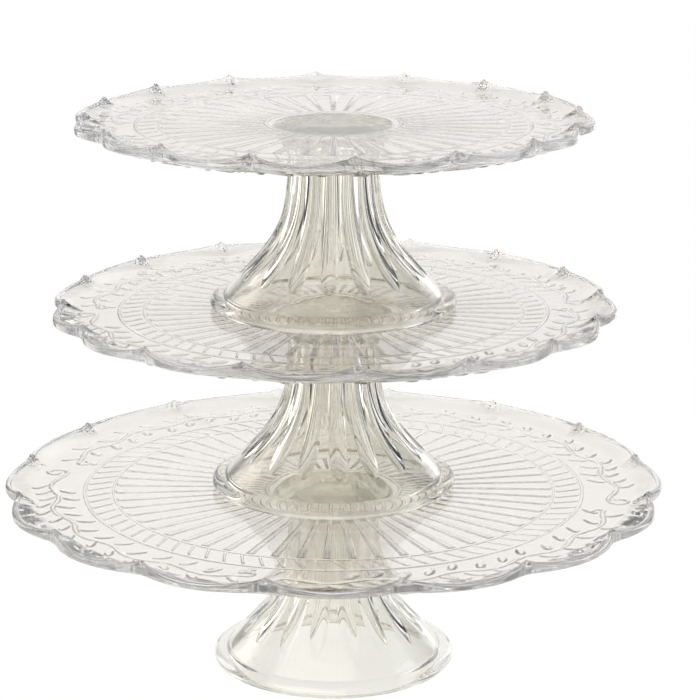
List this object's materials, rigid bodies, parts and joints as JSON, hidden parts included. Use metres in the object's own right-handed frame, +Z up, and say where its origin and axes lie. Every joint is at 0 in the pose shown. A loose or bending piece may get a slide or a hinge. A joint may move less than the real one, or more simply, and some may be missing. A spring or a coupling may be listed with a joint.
{
  "type": "three-tier cake stand",
  "caption": "Stack of clear pressed-glass cake stands with scalloped plates on hollow fluted pedestals, each upper stand lifting off the one below.",
  "frame": {"origin": "middle of the lowest foot's contact with the table, which is the middle of the bottom of the bounding box", "axes": "+Z up along the common vertical axis of the stands; +X to the right and -Y to the front"},
  "size_m": [0.33, 0.33, 0.2816],
  "materials": {
    "plate_glass": "clear pressed soda-lime glass, fire polished",
    "pedestal_glass": "clear pressed soda-lime glass, fire polished",
    "bond": "clear cured adhesive"
  },
  "bodies": {
    "lower_stand": {"lower_plate": "plate_glass", "lower_pedestal": "pedestal_glass", "lower_bond": "bond"},
    "middle_stand": {"middle_plate": "plate_glass", "middle_pedestal": "pedestal_glass", "middle_bond": "bond"},
    "upper_stand": {"upper_plate": "plate_glass", "upper_pedestal": "pedestal_glass", "upper_bond": "bond"}
  },
  "joints": [
    {"name": "middle_lift", "type": "slide", "parent": "lower_stand", "child": "middle_stand", "axis": [0, 0, 1], "range_m": [0, 0.12]},
    {"name": "upper_lift", "type": "slide", "parent": "middle_stand", "child": "upper_stand", "axis": [0, 0, 1], "range_m": [0, 0.12]}
  ]
}
